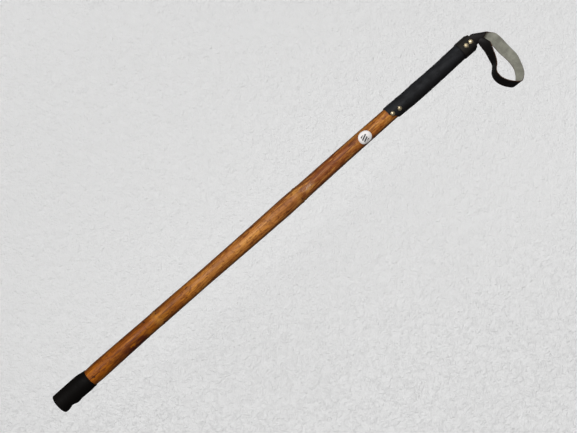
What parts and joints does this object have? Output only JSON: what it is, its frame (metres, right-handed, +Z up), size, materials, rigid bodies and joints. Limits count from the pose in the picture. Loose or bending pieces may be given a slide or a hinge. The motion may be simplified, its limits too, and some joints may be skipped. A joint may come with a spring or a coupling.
{
  "type": "walking stick",
  "caption": "Natural cane walking stick with a black leather grip, a wrist strap held by brass tacks and a rubber ferrule.",
  "frame": {"origin": "centre of the ferrule's flat foot", "axes": "+Z up the stick towards the grip, -Y towards the front where the tacks and label are, +X towards the strap's loop"},
  "size_m": [0.128, 0.0528, 1.0044],
  "materials": {
    "cane": "varnished",
    "grip_leather": "worn",
    "strap_leather": "grain outside, suede inside",
    "tack_brass": "polished",
    "label_paper": "matt",
    "ferrule_rubber": "worn",
    "washer_steel": "zinc plated"
  },
  "bodies": {
    "stick": {"shaft": "cane", "grip_wrap": "grip_leather", "top_band": "grip_leather", "end_disc": "grip_leather", "strap_front_tail": "strap_leather", "strap_back_tail": "strap_leather", "hem_tacks": "tack_brass", "strap_tacks": "tack_brass", "label": "label_paper", "ferrule": "ferrule_rubber", "ferrule_washer": "washer_steel"},
    "strap": {"strap_loop": "strap_leather"}
  },
  "joints": [
    {"name": "strap_flex", "type": "hinge", "parent": "stick", "child": "strap", "pos_m": [0, -0.0183, 0.9676], "axis": [1, 0, 0], "range_deg": [-30, 125], "stiffness_Nm_per_rad": 0.05}
  ]
}
